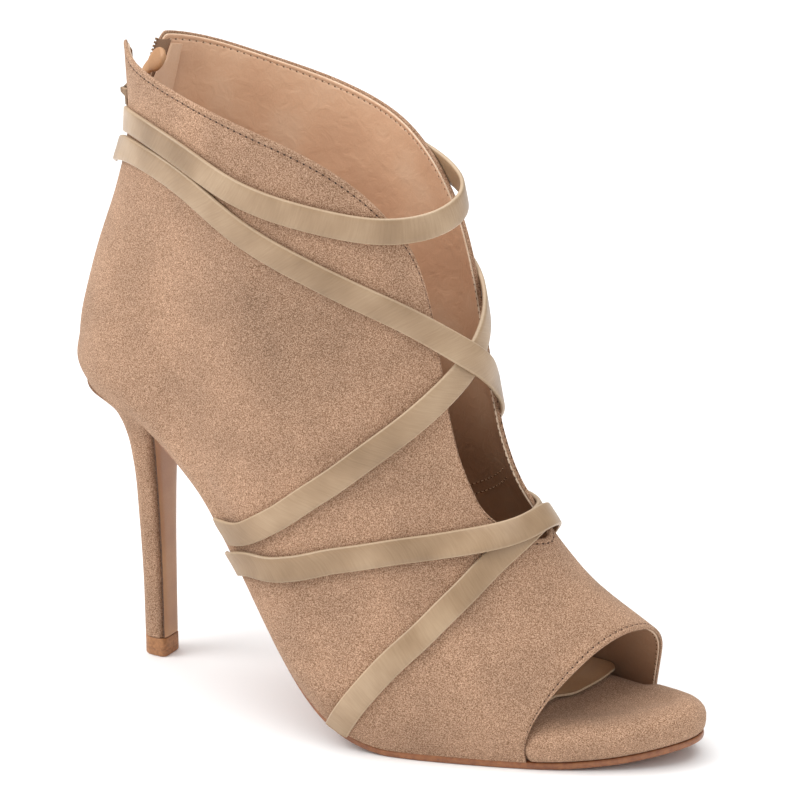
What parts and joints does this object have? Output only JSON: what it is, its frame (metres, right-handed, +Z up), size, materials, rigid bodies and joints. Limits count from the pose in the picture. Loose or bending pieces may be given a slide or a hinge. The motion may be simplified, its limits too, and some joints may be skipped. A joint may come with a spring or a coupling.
{
  "type": "ankle boot",
  "caption": "Peep-toe ankle boot for the right foot with a deep open throat, crossing straps, a back zip, a slim platform and a high slim heel.",
  "frame": {"origin": "on the floor under the flat of the forefoot, on the heel's centre line", "axes": "+X towards the toe, +Y towards the inner side of the foot, +Z up"},
  "size_m": [0.2229, 0.0848, 0.2145],
  "materials": {
    "taupe_suede": "napped microsuede",
    "tan_outsole": "smooth, satin",
    "suede_wrap": "napped microsuede",
    "tan_sock": "smooth, satin",
    "suede_heel_wrap": "napped microsuede",
    "tan_breast": "smooth, satin",
    "brown_top_piece": "matt",
    "olive_strap": "smooth, satin, fine grain",
    "zip_teeth": "dull moulded teeth",
    "zip_tape": "woven",
    "peach_guard": "smooth lining",
    "zip_metal": "dull plated",
    "tan_pull": "smooth, satin"
  },
  "bodies": {
    "boot": {"upper": "taupe_suede", "outsole": "tan_outsole", "footbed": "suede_wrap", "sock_lining": "tan_sock", "heel": "suede_heel_wrap", "heel_breast_cover": "tan_breast", "heel_tip": "brown_top_piece", "strap_top": "olive_strap", "strap_upper_under": "olive_strap", "strap_upper_over": "olive_strap", "strap_lower_under": "olive_strap", "strap_lower_over": "olive_strap", "zip_chain": "zip_teeth", "zip_tape": "zip_tape", "zip_guard": "peach_guard", "zip_slider": "zip_metal"},
    "pull": {"zip_pull": "tan_pull"}
  },
  "joints": [
    {"name": "pull_hinge", "type": "hinge", "parent": "boot", "child": "pull", "pos_m": [-0.13841, 0, 0.19755], "axis": [0, -1, 0], "range_deg": [0, 200]}
  ]
}
